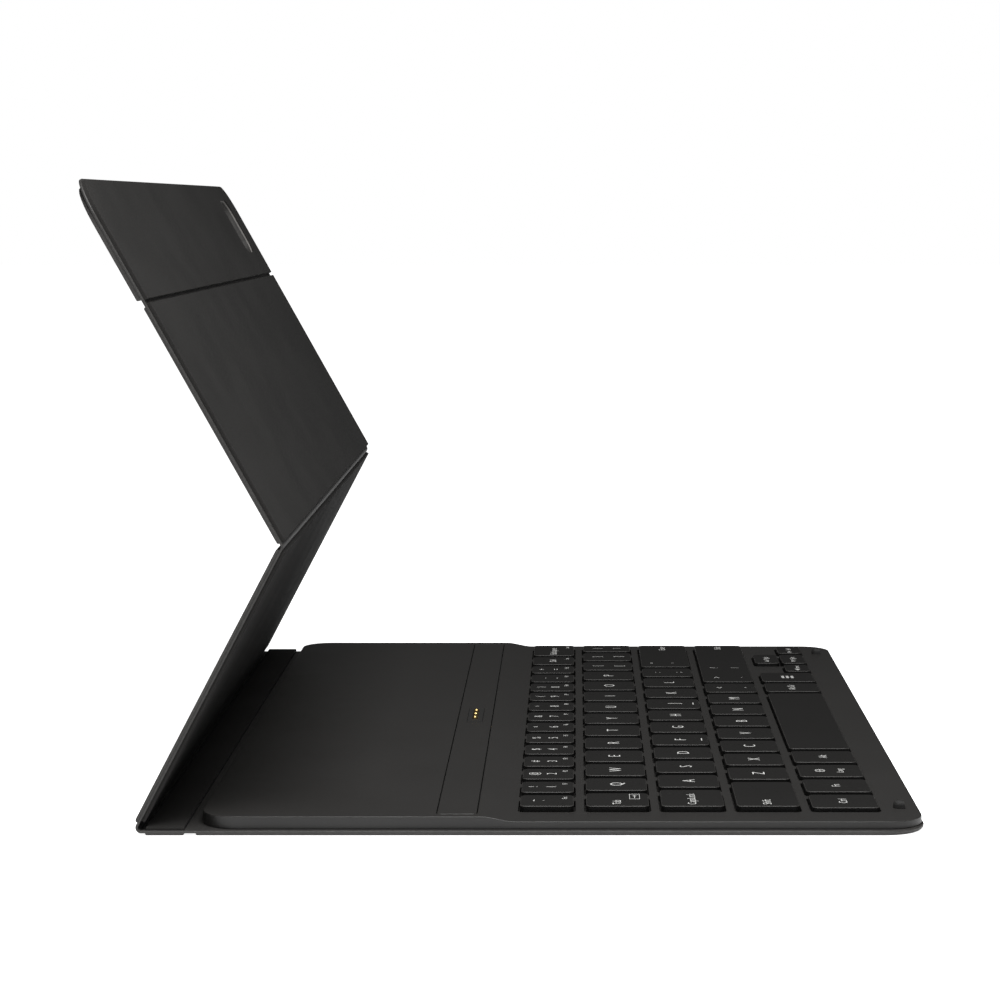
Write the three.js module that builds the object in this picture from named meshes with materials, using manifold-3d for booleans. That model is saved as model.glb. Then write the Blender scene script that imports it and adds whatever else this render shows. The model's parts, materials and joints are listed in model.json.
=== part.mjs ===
// Tablet keyboard case: a thin keyboard in a folding cover with an upright stand for the tablet.
//
// Millimetres, +Z up. The origin is on the desk under the middle of the keyboard. +X is the typist's
// right, -Y points to the typist, and the stand folds up behind the keyboard on the +Y side.
// Every cover panel is drawn flat in its own group: its y runs along the panel away from its fold,
// z = 0 is the middle of the outer skin, and +z is the inner side that faces the tablet and the keys.

import * as THREE from 'three';
import { mergeVertices } from 'three/addons/utils/BufferGeometryUtils.js';
import Module from 'manifold-3d';

const wasm = await Module();
wasm.setup();

// ---------------------------------------------------------------- driving dimensions

// cover
const COVER_HALF_WIDTH = 127.2;
const PAD_INSET = 0.3; // the padding stops this far inside the skin's edge
const LINING_INSET = 0.6;
const STIFFENER_INSET = 3;
const COVER_RADIUS = 9.5; // outer corners of the two free ends
const PAD_THICKNESS = 0.55;
const SKIN_THICKNESS = 0.6;
const STIFFENER_THICKNESS = 0.35;
const LINING_THICKNESS = 0.45;
const LAYER_GAP = 0.05; // between the layers of a tilted panel

// folds: lengths between fold lines, and the angles of the typing position
const SPINE_LENGTH = 12.65;
const STAND_LENGTH = 73.1;
const HOLDER_LENGTH = 62.5;
const FLAP_LENGTH = 31.6;
const STAND_LEAN = 62.27; // degrees above the desk, leaning towards the typist
const TABLET_LEAN = 60.9; // degrees above the desk, leaning back
const SPINE_FOLD_Y = 84;

// keyboard case
const DECK_HALF_WIDTH = 125.7;
const DECK_HALF_DEPTH = 82.2;
const DECK_RADIUS = 8.5;
const DECK_LOW_Z = 2.95; // around the keys
const DECK_HIGH_Z = 4.1; // behind the keys
const SLOPE_FRONT_Y = 10.6; // the deck rises from low to high between these two
const SLOPE_BACK_Y = 18.6;
const DECK_WALL = 1.2;
const KEY_PLATE_THICKNESS = 0.6; // the case's top around the keys
const STRIP_BED_THICKNESS = 0.6; // under the connector strip
const REAR_PLATE_THICKNESS = 0.8; // behind the strip
const RIB_WIDTH = 1; // on each side of the strip's bed
const BASE_COVER_TOP_Z = PAD_THICKNESS + SKIN_THICKNESS;

// inside the keyboard case
const BOTTOM_PLATE_THICKNESS = 0.15;
const BOTTOM_PLATE_CLEARANCE = 0.2;
const MEMBRANE_THICKNESS = 0.1;
const MEMBRANE_MARGIN = 3; // past the keys at each side
const MEMBRANE_FRONT_Y = -77;
const MEMBRANE_BACK_Y = 12.6;
const BOARD_HALF_WIDTH = 34;
const BOARD_FRONT_Y = 36;
const BOARD_BACK_Y = 56;
const BOARD_THICKNESS = 0.8;
const RIBBON_HALF_WIDTH = 8;
const RIBBON_THICKNESS = 0.2;

// connector strip that carries the tablet's edge
const STRIP_HALF_WIDTH = 122.8;
const STRIP_FRONT_Y = 19.5;
const STRIP_BACK_Y = 28.5;
const STRIP_BOTTOM_Z = 2.6;
const STRIP_RADIUS = 1;
const STRIP_GAP = 0.2;
const STRIP_MAGNET_START_X = 22; // one magnet on each side of the contacts
const STRIP_MAGNET_END_X = 112;
const STRIP_MAGNET_FRONT_Y = 21.5;
const STRIP_MAGNET_BACK_Y = 26.5;
const STRIP_MAGNET_THICKNESS = 1;
const BLOCK_HALF_WIDTH = 10; // the block that holds the contact pins
const BLOCK_FRONT_Y = 22;
const BLOCK_BACK_Y = 26;
const BLOCK_STEP_THICKNESS = 0.4; // holds down the collar of each pin
const PIN_PITCH = 5;
const PIN_RADIUS = 0.75;
const PIN_COLLAR_RADIUS = 1.05;
const PIN_TIP_CHAMFER = 0.3;
const PIN_CLEARANCE = 0.1; // around a pin and its collar
const PIN_COLLAR_PLAY = 0.05; // above the collar
const PIN_STAND_OUT = 0.8;
const PIN_TRAVEL = 0.7;

// keys
const KEY_LEFT_X = -115.2;
const KEY_RIGHT_X = 118.9;
const KEY_GAP = 3.3; // between neighbouring caps
const SIDE_CLEARANCE = 0.6; // from a cap to the end of its well, along a row
const DEPTH_CLEARANCE = 0.4; // and across the row
const ROW_RIB = 2.05; // deck left between two rows of wells
const FIRST_WELL_BACK_Y = 10.2;
const CAP_BOTTOM_Z = 2.42;
const CAP_TOP_Z = 4.25;
const LOW_CAP_TOP_Z = 3.9; // caps of the row nearest the typist
const CAP_WALL = 0.9;
const LINK_THICKNESS = 0.18;
const LINK_WIDTH = 3;
const CHANNEL_SIDE_CLEARANCE = 0.5; // around a link, under the deck
const CHANNEL_TOP_CLEARANCE = 0.03;
const ARROW_SPLIT = 0.95; // between the up and the down key

// bumpers, D-shaped in plan with the flat side towards the typist
const BUMPER_X = 111;
const BUMPER_FRONT_Y = -79;
const BUMPER_WIDTH = 3;
const BUMPER_DEPTH = 2.6;
const BUMPER_TOP_Z = 4.75;

// ---------------------------------------------------------------- materials

const materials = {
  cover: new THREE.MeshStandardMaterial({ color: 0x3c3b39, roughness: 0.72, metalness: 0 }),
  skin: new THREE.MeshStandardMaterial({ color: 0x353432, roughness: 0.68, metalness: 0 }),
  lining: new THREE.MeshStandardMaterial({ color: 0x2a2928, roughness: 0.9, metalness: 0 }),
  stiffener: new THREE.MeshStandardMaterial({ color: 0x6f7168, roughness: 0.6, metalness: 0 }),
  deck: new THREE.MeshStandardMaterial({ color: 0x32312f, roughness: 0.5, metalness: 0 }),
  keycap: new THREE.MeshStandardMaterial({ color: 0x242322, roughness: 0.55, metalness: 0 }),
  rubber: new THREE.MeshStandardMaterial({ color: 0x1b1b1a, roughness: 0.85, metalness: 0 }),
  steel: new THREE.MeshStandardMaterial({ color: 0xb4b6b8, roughness: 0.35, metalness: 1 }),
  magnet: new THREE.MeshStandardMaterial({ color: 0xa3a5a8, roughness: 0.3, metalness: 1 }),
  film: new THREE.MeshStandardMaterial({ color: 0x9fa49a, roughness: 0.4, metalness: 0 }),
  board: new THREE.MeshStandardMaterial({ color: 0x1d5a38, roughness: 0.5, metalness: 0 }),
  gold: new THREE.MeshStandardMaterial({ color: 0xc9a24b, roughness: 0.25, metalness: 1 }),
};

// ---------------------------------------------------------------- solids

const WELD_DISTANCE = 1e-4;

/** A closed three.js geometry as a solid that can be cut and joined. */
function solidOf(geometry) {
  const bare = geometry.index ? geometry.toNonIndexed() : geometry.clone();
  bare.deleteAttribute('normal');
  bare.deleteAttribute('uv');
  const merged = mergeVertices(bare, WELD_DISTANCE);
  return new wasm.Manifold(
    new wasm.Mesh({
      numProp: 3,
      vertProperties: new Float32Array(merged.attributes.position.array),
      triVerts: new Uint32Array(merged.index.array),
    }),
  );
}

/** The solid as a three.js geometry with flat shading normals. */
function geometryOf(solid) {
  const mesh = solid.getMesh();
  const geometry = new THREE.BufferGeometry();
  geometry.setAttribute('position', new THREE.BufferAttribute(new Float32Array(mesh.vertProperties), 3));
  geometry.setIndex(new THREE.BufferAttribute(new Uint32Array(mesh.triVerts), 1));
  geometry.computeVertexNormals();
  return geometry;
}

/** A box between two values on each axis. */
function boxSolid([x0, x1], [y0, y1], [z0, z1]) {
  const geometry = new THREE.BoxGeometry(x1 - x0, y1 - y0, z1 - z0);
  geometry.translate((x0 + x1) / 2, (y0 + y1) / 2, (z0 + z1) / 2);
  return solidOf(geometry);
}

/** A rectangle whose low-y and high-y corners have their own radii. */
function roundedOutline([x0, x1], [y0, y1], lowRadius, highRadius) {
  const shape = new THREE.Shape();
  // each corner in turn, with the way from it to the middle of its arc
  const corners = [
    [x1, y0, -1, 1, lowRadius],
    [x1, y1, -1, -1, highRadius],
    [x0, y1, 1, -1, highRadius],
    [x0, y0, 1, 1, lowRadius],
  ];
  corners.forEach(([x, y, inX, inY, radius], i) => {
    const start = (i - 1) * (Math.PI / 2);
    const cx = x + inX * radius;
    const cy = y + inY * radius;
    const first = [cx + radius * Math.cos(start), cy + radius * Math.sin(start)];
    if (i === 0) {
      shape.moveTo(...first);
    } else {
      shape.lineTo(...first);
    }
    if (radius > 0) {
      shape.absarc(cx, cy, radius, start, start + Math.PI / 2, false);
    }
  });
  shape.closePath();
  return shape;
}

/** A flat sheet: the rounded rectangle, filled from z0 to z1. */
function sheetSolid(xs, ys, [z0, z1], lowRadius = 0, highRadius = 0, segments = 5) {
  const geometry = new THREE.ExtrudeGeometry(roundedOutline(xs, ys, lowRadius, highRadius), {
    depth: z1 - z0,
    bevelEnabled: false,
    curveSegments: segments,
  });
  geometry.translate(0, 0, z0);
  return solidOf(geometry);
}

/** An upright round solid turned from [radius, z] points, standing at (x, y). */
function turnedSolid(profile, x, y, segments = 16) {
  const points = profile.map(([radius, z]) => new THREE.Vector2(radius, z));
  const geometry = new THREE.LatheGeometry(points, segments);
  geometry.rotateX(Math.PI / 2);
  geometry.translate(x, y, 0);
  return solidOf(geometry);
}

function joined(solids) {
  return solids.reduce((whole, solid) => whole.add(solid));
}

function cutFrom(solid, cutters) {
  return cutters.reduce((left, cutter) => left.subtract(cutter), solid);
}

/** Adds one named piece to a group. */
function addPiece(group, name, solid, material) {
  const mesh = new THREE.Mesh(geometryOf(solid), material);
  mesh.name = name;
  group.add(mesh);
}

// ---------------------------------------------------------------- cover panels

/** The z range of each layer of a panel, out from the middle of the skin. gap parts the layers. */
function layerHeights(padThickness, gap) {
  const half = SKIN_THICKNESS / 2;
  const stiffener = half + gap;
  const lining = stiffener + STIFFENER_THICKNESS + gap;
  return {
    pad: [-half - gap - padThickness, -half - gap],
    skin: [-half, half],
    stiffener: [stiffener, stiffener + STIFFENER_THICKNESS],
    lining: [lining, lining + LINING_THICKNESS],
  };
}

/**
 * The four layers of one panel. Each of pad, skin, stiffener and lining is its [start, end] along
 * the panel. endRadius rounds the far corners, cuts go through every layer, and pockets only
 * through the stiffener.
 */
function addPanel(group, name, panel) {
  const { endRadius = 0, cuts = [], pockets = [] } = panel;
  const heights = layerHeights(panel.padThickness, panel.gap);
  const layers = [
    ['pad', COVER_HALF_WIDTH - PAD_INSET, endRadius - PAD_INSET, materials.cover],
    ['skin', COVER_HALF_WIDTH, endRadius, materials.skin],
    ['stiffener', COVER_HALF_WIDTH - STIFFENER_INSET, 0, materials.stiffener],
    ['lining', COVER_HALF_WIDTH - LINING_INSET, endRadius - LINING_INSET, materials.lining],
  ];
  for (const [layer, half, radius, material] of layers) {
    const far = Math.max(radius, 0);
    let solid = sheetSolid([-half, half], panel[layer], heights[layer], 0, far);
    solid = cutFrom(solid, cuts);
    if (layer === 'stiffener') {
      solid = cutFrom(solid, pockets);
    }
    addPiece(group, `${name}_${layer}`, solid, material);
  }
}

/** A group at a fold line, turned by an angle in degrees about +X. */
function foldGroup(parent, y, z, degrees) {
  const group = new THREE.Group();
  group.position.set(0, y, z);
  group.rotation.x = THREE.MathUtils.degToRad(degrees);
  parent.add(group);
  return group;
}

// two magnets in the holder's stiffener
const HOLDER_MAGNET_X = 57.24;
const HOLDER_MAGNET_HALF_WIDTH = 35;
const HOLDER_MAGNET_HALF_DEPTH = 5;
const HOLDER_MAGNET_CLEARANCE = 0.2;

// window for the tablet's rear camera; its y runs along the flap
const WINDOW_XS = [COVER_HALF_WIDTH - 32, COVER_HALF_WIDTH - 13];
const WINDOW_YS = [8, 26];
const WINDOW_RADIUS = 5;
const WINDOW_CUT_ZS = [-3, 3]; // past both faces of the flap

// cover under the keyboard
const BASE_FRONT_Y = -DECK_HALF_DEPTH - 0.4;
const BASE_SKIN_BACK_Y = SPINE_FOLD_Y - 0.45;
const BASE_PAD_BACK_Y = SPINE_FOLD_Y - 1.3;

/**
 * The folding panels. Each layer stops short of the fold line at either end of its panel: the
 * sharper the fold and the thicker the layer, the further back it stops, so that neighbouring
 * panels never touch. Only the flexible skin that joins them is missing from the solids.
 */

function addCover(root) {
  // under the keyboard
  const padXs = [PAD_INSET - COVER_HALF_WIDTH, COVER_HALF_WIDTH - PAD_INSET];
  const padYs = [BASE_FRONT_Y + PAD_INSET, BASE_PAD_BACK_Y];
  const pad = sheetSolid(padXs, padYs, [0, PAD_THICKNESS], COVER_RADIUS - PAD_INSET);
  const skinXs = [-COVER_HALF_WIDTH, COVER_HALF_WIDTH];
  const skinYs = [BASE_FRONT_Y, BASE_SKIN_BACK_Y];
  const skin = sheetSolid(skinXs, skinYs, [PAD_THICKNESS, BASE_COVER_TOP_Z], COVER_RADIUS);
  addPiece(root, 'base_pad', pad, materials.cover);
  addPiece(root, 'base_skin', skin, materials.skin);

  // the narrow spine on the desk behind the keyboard
  const spine = foldGroup(root, SPINE_FOLD_Y, PAD_THICKNESS + SKIN_THICKNESS / 2, 0);
  addPanel(spine, 'spine', {
    gap: 0,
    padThickness: PAD_THICKNESS,
    pad: [1.35, SPINE_LENGTH - 2.55],
    skin: [0.45, SPINE_LENGTH - 1],
    stiffener: [1.8, SPINE_LENGTH - 3.6],
    lining: [1.3, SPINE_LENGTH - 2.75],
  });

  // the stand that leans towards the typist
  const stand = foldGroup(spine, SPINE_LENGTH, 0, 180 - STAND_LEAN);
  addPanel(stand, 'stand', {
    gap: LAYER_GAP,
    padThickness: 0.67,
    pad: [2.25, STAND_LENGTH - 1.1],
    skin: [1, STAND_LENGTH - 0.6],
    stiffener: [4.5, STAND_LENGTH - 2.5],
    lining: [3, STAND_LENGTH - 1],
  });

  // the holder behind the tablet, with two magnets in its stiffener
  const holder = foldGroup(stand, STAND_LENGTH, 0, STAND_LEAN + TABLET_LEAN - 180);
  const { stiffener } = layerHeights(0, LAYER_GAP);
  const magnets = [-1, 1].map((side) => {
    const x = side * HOLDER_MAGNET_X;
    const y = HOLDER_LENGTH / 2;
    const xs = [x - HOLDER_MAGNET_HALF_WIDTH, x + HOLDER_MAGNET_HALF_WIDTH];
    const ys = [y - HOLDER_MAGNET_HALF_DEPTH, y + HOLDER_MAGNET_HALF_DEPTH];
    const around = ([low, high]) => [low - HOLDER_MAGNET_CLEARANCE, high + HOLDER_MAGNET_CLEARANCE];
    return {
      name: side < 0 ? 'holder_magnet_left' : 'holder_magnet_right',
      solid: boxSolid(xs, ys, stiffener),
      pocket: boxSolid(around(xs), around(ys), around(stiffener)),
    };
  });
  addPanel(holder, 'holder', {
    gap: LAYER_GAP,
    padThickness: 0.48,
    pad: [1.5, HOLDER_LENGTH - 0.95],
    skin: [0.6, HOLDER_LENGTH - 0.4],
    stiffener: [2.5, HOLDER_LENGTH - 2],
    lining: [1, HOLDER_LENGTH - 0.5],
    pockets: magnets.map((magnet) => magnet.pocket),
  });
  for (const magnet of magnets) {
    addPiece(holder, magnet.name, magnet.solid, materials.magnet);
  }

  // the flap over the pen, with the window for the tablet's rear camera
  const flap = foldGroup(holder, HOLDER_LENGTH, 0, 0);
  addPanel(flap, 'flap', {
    gap: LAYER_GAP,
    padThickness: 1,
    pad: [1, FLAP_LENGTH - 1.6],
    skin: [0.4, FLAP_LENGTH],
    stiffener: [2, FLAP_LENGTH - 3.6],
    lining: [0.5, FLAP_LENGTH - 0.6],
    endRadius: COVER_RADIUS,
    cuts: [sheetSolid(WINDOW_XS, WINDOW_YS, WINDOW_CUT_ZS, WINDOW_RADIUS, WINDOW_RADIUS)],
  });
}

// ---------------------------------------------------------------- keys

/** Caps side by side from x, each [name, width]; a null width runs to the right-hand edge. */
function capsInLine(x, caps) {
  let left = x;
  return caps.map(([name, width]) => {
    const right = width === null ? KEY_RIGHT_X : left + width;
    const cap = { name, xs: [left, right] };
    left = right + KEY_GAP;
    return cap;
  });
}

const repeated = (name, count, width) => Array.from({ length: count }, () => [name, width]);

// rows from the back to the front; caps with a plural name share one linked piece
const keyRows = [
  {
    wellDepth: 13.2,
    topZ: CAP_TOP_Z,
    caps: [['grave', 11.95], ...repeated('number_row', 12, 11.95), ['delete', 13.45], ['backspace', null]],
  },
  {
    wellDepth: 15.3,
    topZ: CAP_TOP_Z,
    caps: [['tab', 14.1], ...repeated('upper_row', 12, 13.8), ['backslash', null]],
  },
  {
    wellDepth: 15.3,
    topZ: CAP_TOP_Z,
    caps: [['caps_lock', 17.8], ...repeated('home_row', 10, 14), ['enter', null]],
  },
  {
    wellDepth: 15.3,
    topZ: CAP_TOP_Z,
    caps: [['shift_left', 26.9], ...repeated('lower_row', 8, 13.9), ['shift_right', null]],
  },
  {
    wellDepth: 16.2,
    topZ: LOW_CAP_TOP_Z,
    caps: [
      ['control', 14.15],
      ['function', 14.15],
      ['language', 14.15],
      ['alt_left', 14.15],
      ['space', 80.5],
      ['alt_right', 13.4],
      ['menu', 14.7],
      ['arrow_left', 11.1],
      ['arrow_up_down', 15.5],
      ['arrow_right', null],
    ],
  },
];

/** Every cap and well with its place: half-height arrows lie in the front half of their row. */
function placeKeys() {
  const caps = [];
  const wells = [];
  let back = FIRST_WELL_BACK_Y;
  for (const { wellDepth, topZ, caps: row } of keyRows) {
    const front = back - wellDepth;
    const ys = [front + DEPTH_CLEARANCE, back - DEPTH_CLEARANCE];
    const half = (ys[1] - ys[0] - ARROW_SPLIT) / 2;
    const lowYs = [ys[0], ys[0] + half];
    const highYs = [ys[1] - half, ys[1]];
    for (const { name, xs } of capsInLine(KEY_LEFT_X, row)) {
      const wellXs = [xs[0] - SIDE_CLEARANCE, xs[1] + SIDE_CLEARANCE];
      const sideArrow = name === 'arrow_left' || name === 'arrow_right';
      wells.push({ xs: wellXs, ys: sideArrow ? [front, lowYs[1] + DEPTH_CLEARANCE] : [front, back] });
      if (name === 'arrow_up_down') {
        caps.push({ name: 'arrow_down', xs, ys: lowYs, topZ });
        caps.push({ name: 'arrow_up', xs, ys: highYs, topZ });
      } else {
        caps.push({ name, xs, ys: sideArrow ? lowYs : ys, topZ });
      }
    }
    back = front - ROW_RIB;
  }
  return { caps, wells };
}

/** A thin-walled cap, open underneath. */
function capSolid({ xs, ys, topZ }) {
  const outer = boxSolid(xs, ys, [CAP_BOTTOM_Z, topZ]);
  const inside = ([low, high]) => [low + CAP_WALL, high - CAP_WALL];
  return outer.subtract(boxSolid(inside(xs), inside(ys), [CAP_BOTTOM_Z - 1, topZ - CAP_WALL]));
}

/** Caps of one name as one solid, joined by a thin link that runs under the deck between them. */
function keySolid(caps) {
  const solids = caps.map(capSolid);
  const middle = (caps[0].ys[0] + caps[0].ys[1]) / 2;
  for (let i = 1; i < caps.length; i += 1) {
    const xs = [caps[i - 1].xs[1] - CAP_WALL / 2, caps[i].xs[0] + CAP_WALL / 2];
    const ys = [middle - LINK_WIDTH / 2, middle + LINK_WIDTH / 2];
    solids.push(boxSolid(xs, ys, [CAP_BOTTOM_Z, CAP_BOTTOM_Z + LINK_THICKNESS]));
  }
  return joined(solids);
}

function addKeys(root, caps) {
  for (const name of new Set(caps.map((cap) => cap.name))) {
    const same = caps.filter((cap) => cap.name === name);
    addPiece(root, same.length > 1 ? `keys_${name}` : `key_${name}`, keySolid(same), materials.keycap);
  }
}

// ---------------------------------------------------------------- keyboard case

/** The deck's side view, filled across the whole width: flat, a soft rise, and flat again. */
function deckBlock() {
  const side = new THREE.Shape();
  const middle = (SLOPE_FRONT_Y + SLOPE_BACK_Y) / 2;
  side.moveTo(-DECK_HALF_DEPTH, BASE_COVER_TOP_Z);
  side.lineTo(DECK_HALF_DEPTH, BASE_COVER_TOP_Z);
  side.lineTo(DECK_HALF_DEPTH, DECK_HIGH_Z);
  side.lineTo(SLOPE_BACK_Y, DECK_HIGH_Z);
  side.bezierCurveTo(middle, DECK_HIGH_Z, middle, DECK_LOW_Z, SLOPE_FRONT_Y, DECK_LOW_Z);
  side.lineTo(-DECK_HALF_DEPTH, DECK_LOW_Z);
  side.closePath();
  const geometry = new THREE.ExtrudeGeometry(side, {
    depth: 2 * DECK_HALF_WIDTH,
    bevelEnabled: false,
    curveSegments: 6,
  });
  geometry.translate(0, 0, -DECK_HALF_WIDTH);
  const across = new THREE.Matrix4().makeBasis(
    new THREE.Vector3(0, 1, 0),
    new THREE.Vector3(0, 0, 1),
    new THREE.Vector3(1, 0, 0),
  );
  geometry.applyMatrix4(across);
  return solidOf(geometry);
}

/** The deck's plan, shrunk by inset, between two heights. */
function deckPlan(inset, zs) {
  const half = DECK_HALF_WIDTH - inset;
  const depth = DECK_HALF_DEPTH - inset;
  const radius = DECK_RADIUS - inset;
  return sheetSolid([-half, half], [-depth, depth], zs, radius, radius, 4);
}

function topCaseSolid(caps, wells) {
  const bottom = BASE_COVER_TOP_Z;
  const below = bottom - 1;
  const inner = deckPlan(DECK_WALL, [below, DECK_HIGH_Z]);
  const wide = [-DECK_HALF_WIDTH, DECK_HALF_WIDTH];
  // three rooms of different heights: under the keys, under the strip and behind it
  const keysEnd = STRIP_FRONT_Y - 2 * RIB_WIDTH;
  const rearStart = STRIP_BACK_Y + 2 * RIB_WIDTH;
  const rooms = joined([
    boxSolid(wide, [-DECK_HALF_DEPTH, keysEnd], [below, DECK_LOW_Z - KEY_PLATE_THICKNESS]),
    boxSolid(
      wide,
      [keysEnd - RIB_WIDTH, rearStart + RIB_WIDTH],
      [below, STRIP_BOTTOM_Z - STRIP_BED_THICKNESS],
    ),
    boxSolid(wide, [rearStart, DECK_HALF_DEPTH], [below, DECK_HIGH_Z - REAR_PLATE_THICKNESS]),
  ]);
  const stripXs = [-STRIP_HALF_WIDTH - STRIP_GAP, STRIP_HALF_WIDTH + STRIP_GAP];
  const stripYs = [STRIP_FRONT_Y - STRIP_GAP, STRIP_BACK_Y + STRIP_GAP];
  const groove = boxSolid(stripXs, stripYs, [STRIP_BOTTOM_Z, DECK_HIGH_Z + 1]);
  const wellCuts = wells.map(({ xs, ys }) => boxSolid(xs, ys, [bottom, DECK_HIGH_Z]));
  const channels = linkChannels(caps);
  const shell = deckBlock().intersect(deckPlan(0, [below, DECK_HIGH_Z + 1]));
  return cutFrom(shell, [rooms.intersect(inner), groove, joined(wellCuts), ...channels]);
}

/** Room under the deck for the links of the joined caps. */
function linkChannels(caps) {
  const names = [...new Set(caps.map((cap) => cap.name))];
  const rows = names.map((name) => caps.filter((cap) => cap.name === name));
  return rows
    .filter((row) => row.length > 1)
    .map((row) => {
      const middle = (row[0].ys[0] + row[0].ys[1]) / 2;
      const half = LINK_WIDTH / 2 + CHANNEL_SIDE_CLEARANCE;
      const ys = [middle - half, middle + half];
      const top = CAP_BOTTOM_Z + LINK_THICKNESS + CHANNEL_TOP_CLEARANCE;
      return boxSolid([row[0].xs[0], row.at(-1).xs[1]], ys, [BASE_COVER_TOP_Z, top]);
    });
}

/** The steel bottom plate, the switch membrane, and the board it is wired to. */
function addInside(root) {
  const plateTop = BASE_COVER_TOP_Z + BOTTOM_PLATE_THICKNESS;
  const membraneTop = plateTop + MEMBRANE_THICKNESS;
  const plate = deckPlan(DECK_WALL + BOTTOM_PLATE_CLEARANCE, [BASE_COVER_TOP_Z, plateTop]);
  const membraneXs = [KEY_LEFT_X - MEMBRANE_MARGIN, KEY_RIGHT_X + MEMBRANE_MARGIN];
  const membrane = boxSolid(membraneXs, [MEMBRANE_FRONT_Y, MEMBRANE_BACK_Y], [plateTop, membraneTop]);
  const boardXs = [-BOARD_HALF_WIDTH, BOARD_HALF_WIDTH];
  const board = boxSolid(boardXs, [BOARD_FRONT_Y, BOARD_BACK_Y], [plateTop, plateTop + BOARD_THICKNESS]);
  const ribbonXs = [-RIBBON_HALF_WIDTH, RIBBON_HALF_WIDTH];
  const ribbonZs = [plateTop, plateTop + RIBBON_THICKNESS];
  const ribbon = boxSolid(ribbonXs, [MEMBRANE_BACK_Y, BOARD_FRONT_Y], ribbonZs);
  addPiece(root, 'bottom_plate', plate, materials.steel);
  addPiece(root, 'switch_membrane', membrane, materials.film);
  addPiece(root, 'controller_board', board, materials.board);
  addPiece(root, 'ribbon_cable', ribbon, materials.film);
}

/** A small D-shaped stop on the deck, flat side to the typist, that keeps the tablet off the keys. */
function addBumpers(root) {
  const radius = BUMPER_WIDTH / 2;
  const shape = new THREE.Shape();
  shape.moveTo(-radius, 0);
  shape.lineTo(radius, 0);
  shape.lineTo(radius, BUMPER_DEPTH - radius);
  shape.absarc(0, BUMPER_DEPTH - radius, radius, 0, Math.PI, false);
  shape.closePath();
  const extrusion = { depth: BUMPER_TOP_Z - DECK_LOW_Z, bevelEnabled: false, curveSegments: 8 };
  for (const side of [-1, 1]) {
    const geometry = new THREE.ExtrudeGeometry(shape, extrusion);
    geometry.translate(side * BUMPER_X, BUMPER_FRONT_Y, DECK_LOW_Z);
    addPiece(root, side < 0 ? 'bumper_left' : 'bumper_right', solidOf(geometry), materials.rubber);
  }
}

// ---------------------------------------------------------------- connector

/** The strip with its two magnets, and the block with the three sprung contact pins. */
function addConnector(root) {
  const blockXs = [-BLOCK_HALF_WIDTH, BLOCK_HALF_WIDTH];
  const blockYs = [BLOCK_FRONT_Y, BLOCK_BACK_Y];
  const below = STRIP_BOTTOM_Z - 1;
  const above = DECK_HIGH_Z + 1;
  const stripXs = [-STRIP_HALF_WIDTH, STRIP_HALF_WIDTH];
  const stripYs = [STRIP_FRONT_Y, STRIP_BACK_Y];
  const stripZs = [STRIP_BOTTOM_Z, DECK_HIGH_Z];
  const strip = sheetSolid(stripXs, stripYs, stripZs, STRIP_RADIUS, STRIP_RADIUS, 2);
  const slots = [boxSolid(blockXs, blockYs, [below, above])];
  const magnetYs = [STRIP_MAGNET_FRONT_Y, STRIP_MAGNET_BACK_Y];
  const magnetTop = STRIP_BOTTOM_Z + STRIP_MAGNET_THICKNESS;
  for (const side of [-1, 1]) {
    const xs = [side * STRIP_MAGNET_START_X, side * STRIP_MAGNET_END_X].sort((a, b) => a - b);
    slots.push(boxSolid(xs, magnetYs, [below, magnetTop]));
    const magnet = boxSolid(xs, magnetYs, [STRIP_BOTTOM_Z, magnetTop]);
    addPiece(root, side < 0 ? 'strip_magnet_left' : 'strip_magnet_right', magnet, materials.magnet);
  }
  addPiece(root, 'connector_strip', cutFrom(strip, slots), materials.deck);

  const pinY = (BLOCK_FRONT_Y + BLOCK_BACK_Y) / 2;
  const tipZ = DECK_HIGH_Z + PIN_STAND_OUT;
  const collarTop = DECK_HIGH_Z - BLOCK_STEP_THICKNESS;
  const collarBottom = STRIP_BOTTOM_Z + PIN_TRAVEL + PIN_CLEARANCE;
  const pin = [
    [0, collarBottom],
    [PIN_COLLAR_RADIUS, collarBottom],
    [PIN_COLLAR_RADIUS, collarTop],
    [PIN_RADIUS, collarTop],
    [PIN_RADIUS, tipZ - PIN_TIP_CHAMFER],
    [PIN_RADIUS - PIN_TIP_CHAMFER, tipZ],
    [0, tipZ],
  ];
  const bore = [
    [0, below],
    [PIN_COLLAR_RADIUS + PIN_CLEARANCE, below],
    [PIN_COLLAR_RADIUS + PIN_CLEARANCE, collarTop + PIN_COLLAR_PLAY],
    [PIN_RADIUS + PIN_CLEARANCE, collarTop + PIN_COLLAR_PLAY],
    [PIN_RADIUS + PIN_CLEARANCE, tipZ],
    [0, tipZ],
  ];
  const bores = [];
  for (const [name, x] of [['left', -PIN_PITCH], ['middle', 0], ['right', PIN_PITCH]]) {
    bores.push(turnedSolid(bore, x, pinY));
    addPiece(root, `contact_pin_${name}`, turnedSolid(pin, x, pinY), materials.gold);
  }
  const block = boxSolid(blockXs, blockYs, [STRIP_BOTTOM_Z, DECK_HIGH_Z]);
  addPiece(root, 'contact_block', cutFrom(block, bores), materials.rubber);
}

// ---------------------------------------------------------------- assembly

const group = new THREE.Group();
const { caps, wells } = placeKeys();
addCover(group);
addInside(group);
addPiece(group, 'top_case', topCaseSolid(caps, wells), materials.deck);
addBumpers(group);
addConnector(group);
addKeys(group, caps);

export default group;
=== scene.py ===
"""Looks of the tablet keyboard case: cover, keyboard, key legends, materials, light and camera.

Shapes are worked out in millimetres and placed in the frame in metres. A cover panel is drawn in its
own axes, as in the design: x across the case, s along the panel away from its fold, and t out of the
panel towards the tablet, with t = 0 in the middle of the outer skin.
"""

import json
import math
from functools import cache

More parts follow.
